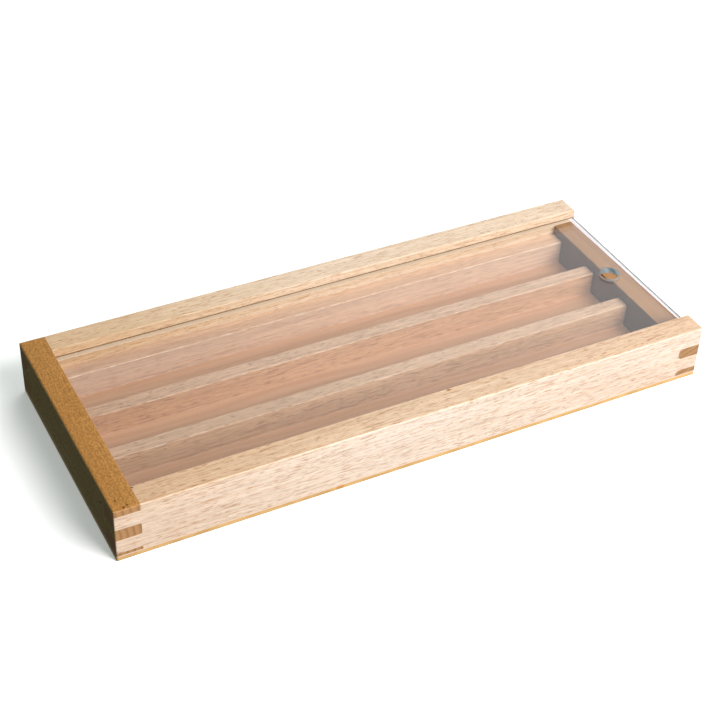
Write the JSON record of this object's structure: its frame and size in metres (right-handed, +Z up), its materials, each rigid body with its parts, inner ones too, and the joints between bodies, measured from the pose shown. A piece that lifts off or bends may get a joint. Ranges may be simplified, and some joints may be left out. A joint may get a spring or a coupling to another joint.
{
  "type": "brush box",
  "caption": "Shallow finger-jointed wooden brush box with long compartments and a clear lid that slides out at one end by a finger hole.",
  "frame": {"origin": "middle of the box's underside", "axes": "+X along the box towards the end where the lid slides out, +Y from the front board to the back board, +Z up"},
  "size_m": [0.36, 0.15, 0.0345],
  "materials": {
    "beech_side": "fine sanded, bare beech with small dark flecks along the grain",
    "beech_end": "fine sanded, darker orange-brown beech",
    "plywood": "sanded plywood with its layers showing at the edge",
    "beech_inside": "fine sanded, bare pinkish beech",
    "clear_acrylic": "clear and glossy, with sawn edges"
  },
  "bodies": {
    "box": {"front_board": "beech_side", "back_board": "beech_side", "left_end_board": "beech_end", "right_end_board": "beech_end", "base_panel": "plywood", "front_rail": "beech_inside", "rear_rail": "beech_inside", "front_divider": "beech_inside", "rear_divider": "beech_inside"},
    "lid": {"sliding_lid": "clear_acrylic"}
  },
  "joints": [
    {"name": "lid_slide", "type": "slide", "parent": "box", "child": "lid", "axis": [1, 0, 0], "range_m": [0, 0.355]}
  ]
}
